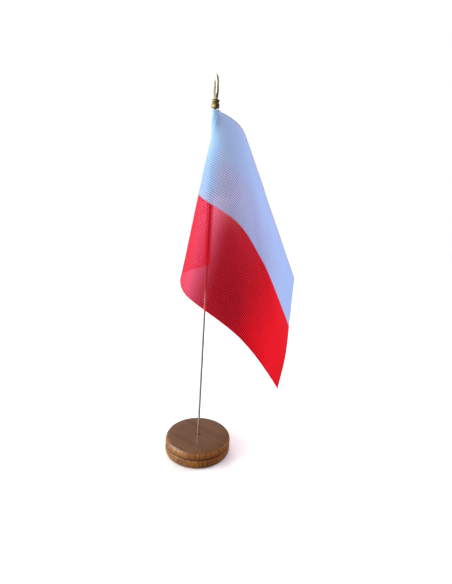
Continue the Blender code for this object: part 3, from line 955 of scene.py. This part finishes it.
def make_floor():
    """A pale floor that fades into white. Through cloth, the camera sees the dim room's floor instead."""
    shape = bmesh.new()
    bmesh.ops.create_circle(shape, cap_ends=True, segments=64, radius=FLOOR_RADIUS)
    mesh = bpy.data.meshes.new("floor")
    shape.to_mesh(mesh)
    shape.free()
    tree = Tree("pale_floor").set(Roughness=0.9, Specular_IOR_Level=0.1)
    places = tree.coordinates()
    grain = tree.noise(places, 30.0, 3.0)
    tones = [(FLOOR_TONE * share,) * 3 for share in (0.97, 1.0)]
    tree.colour(tree.mix(tree.ramp(grain, 0.3, 0.7), *tones))
    x, y, _ = tree.split(places)
    reach = tree.math("SQRT", tree.math("ADD", tree.math("MULTIPLY", x, x), tree.math("MULTIPLY", y, y)))
    backdrop = tree.nodes.new("ShaderNodeEmission")
    fade = tree.nodes.new("ShaderNodeMixShader")
    tree.link(tree.ramp(reach, *FLOOR_FADE), fade.inputs[0])
    tree.link(tree.shader.outputs[0], fade.inputs[1])
    tree.link(backdrop.outputs[0], fade.inputs[2])
    dim = tree.nodes.new("ShaderNodeEmission")
    shade = tree.mix(tree.ramp(reach, *ROOM_REACH), ROOM_NEAR, ROOM_FAR)
    shade = tree.mix(tree.ramp(reach, *ROOM_END), shade, ROOM_WALL_LOW)
    tree.link(tree.mix(tree.ramp(x, *ROOM_LIT_SIDE, 1.0, 0.0), shade, ROOM_LIT), dim.inputs["Color"])
    view = tree.nodes.new("ShaderNodeMixShader")
    tree.link(plain_view(tree.nodes, tree.links)[1], view.inputs[0])
    tree.link(dim.outputs[0], view.inputs[1])
    tree.link(fade.outputs[0], view.inputs[2])
    tree.link(view.outputs[0], tree.output.inputs["Surface"])
    mesh.materials.append(tree.material)
    floor = bpy.data.objects.new("floor", mesh)
    bpy.context.scene.collection.objects.link(floor)
    floor.visible_diffuse = False
    floor.visible_glossy = False
    floor.visible_transmission = False


def make_lights():
    middle = Vector(STUDIO_MIDDLE)
    for name, (heading, height, distance, size, strength, colour, shows) in LIGHTS.items():
        heading, height = math.radians(heading), math.radians(height)
        flat = math.cos(height)
        way = Vector((flat * math.cos(heading), flat * math.sin(heading), math.sin(height)))
        data = bpy.data.lights.new(name, "AREA")
        data.shape = "SQUARE"
        data.size = size
        data.energy = strength * FULL_WHITE * distance**2
        data.color = colour
        light = bpy.data.objects.new(name, data)
        bpy.context.scene.collection.objects.link(light)
        light.visible_glossy = shows
        light.location = middle + way * distance
        light.rotation_mode = "QUATERNION"
        light.rotation_quaternion = (-way).to_track_quat("-Z", "Y")


def make_world():
    """Soft light from all round. The camera sees a white backdrop, or through cloth the dim room's wall."""
    world = bpy.data.worlds.new("studio")
    bpy.context.scene.world = world
    world.use_nodes = True
    nodes, links = world.node_tree.nodes, world.node_tree.links
    room = nodes["Background"]
    way = nodes.new("ShaderNodeTexCoord")
    parts = nodes.new("ShaderNodeSeparateXYZ")
    links.new(way.outputs["Generated"], parts.inputs[0])
    shares = []
    for axis, values in ROOM_LIGHT_SHARES.items():
        share = nodes.new("ShaderNodeMapRange")
        share.interpolation_type = "SMOOTHSTEP"
        links.new(parts.outputs[axis], share.inputs[0])
        for index, value in enumerate(values, 1):
            share.inputs[index].default_value = value
        shares.append(share.outputs[0])
    strength = nodes.new("ShaderNodeMath")
    for index, share in enumerate(shares):
        links.new(share, strength.inputs[index])
    links.new(strength.outputs[0], room.inputs["Strength"])
    room.inputs["Color"].default_value = (*ROOM_LIGHT, 1.0)
    wall = nodes.new("ShaderNodeMix")
    wall.data_type = "RGBA"
    rise = nodes.new("ShaderNodeMapRange")
    rise.interpolation_type = "SMOOTHSTEP"
    links.new(parts.outputs["Z"], rise.inputs[0])
    rise.inputs[1].default_value, rise.inputs[2].default_value = ROOM_WALL_RISE
    links.new(rise.outputs[0], wall.inputs[0])
    wall.inputs[6].default_value = (*ROOM_WALL_LOW, 1.0)
    wall.inputs[7].default_value = (*ROOM_WALL_HIGH, 1.0)
    behind = nodes.new("ShaderNodeBackground")
    links.new(wall.outputs[2], behind.inputs["Color"])
    plain = nodes.new("ShaderNodeBackground")
    plain.inputs["Color"].default_value = (1.0, 1.0, 1.0, 1.0)
    seen, straight = plain_view(nodes, links)
    backdrop = nodes.new("ShaderNodeMixShader")
    links.new(straight, backdrop.inputs[0])
    links.new(behind.outputs[0], backdrop.inputs[1])
    links.new(plain.outputs[0], backdrop.inputs[2])
    choose = nodes.new("ShaderNodeMixShader")
    links.new(seen, choose.inputs[0])
    links.new(room.outputs[0], choose.inputs[1])
    links.new(backdrop.outputs[0], choose.inputs[2])
    links.new(choose.outputs[0], nodes["World Output"].inputs["Surface"])


# Brass: its bright and its tarnished colour, and the roughness of each
AGED_BRASS = ((0.30, 0.24, 0.11), (0.15, 0.11, 0.05), 0.26, 0.42)
POLISHED_BRASS = ((0.50, 0.46, 0.34), (0.32, 0.26, 0.15), 0.16, 0.28)
# Knit: light, deep and glow colours, translucency, how clear its holes are, the holes' edges,
# and its gloss and tint
WHITE_KNIT = (
    (0.37, 0.66, 0.95), (0.28, 0.50, 0.82), (1.0, 0.58, 0.70), 0.30, 0.90,
    WHITE_HOLES, (0.12, (1.0, 1.0, 1.0)),
)
RED_KNIT = (
    (0.98, 0.003, 0.020), (0.32, 0.001, 0.006), (0.95, 0.004, 0.018), 0.32, 1.00,
    RED_HOLES, (0.34, (1.0, 0.55, 1.0)),
)
# Thread and cut edges: the light and the deep colour
WHITE_THREAD = ((0.60, 0.74, 0.95), (0.40, 0.54, 0.80))
RED_THREAD = ((0.90, 0.010, 0.030), (0.45, 0.003, 0.010))
# the top edge's bead: darker, and brownish pink
DARKER_TOP_EDGE = ((0.40, 0.13, 0.17), (0.24, 0.07, 0.10))


def main():
    bpy.context.scene.view_settings.view_transform = "Standard"
    make_camera()
    make_floor()
    make_world()
    make_lights()
    make_base(wood_material())
    make_rod(steel_material())
    make_collar(brass_material("aged_brass", *AGED_BRASS))
    make_spear(brass_material("polished_brass", *POLISHED_BRASS))
    frame["nodes"]["base_pad"].data.materials.clear()
    frame["nodes"]["base_pad"].data.materials.append(felt_material())
    white = cloth_material("white_knit", *WHITE_KNIT)
    red = cloth_material("red_knit", *RED_KNIT)
    white_thread = thread_material("white_thread", *WHITE_THREAD)
    red_thread = thread_material("red_thread", *RED_THREAD)
    top_edge_tone = thread_material("top_edge_bead_tone", *DARKER_TOP_EDGE)
    make_flag(white, red, {"white": white_thread, "red": red_thread, "top": top_edge_tone, "foot": red_thread})


main()
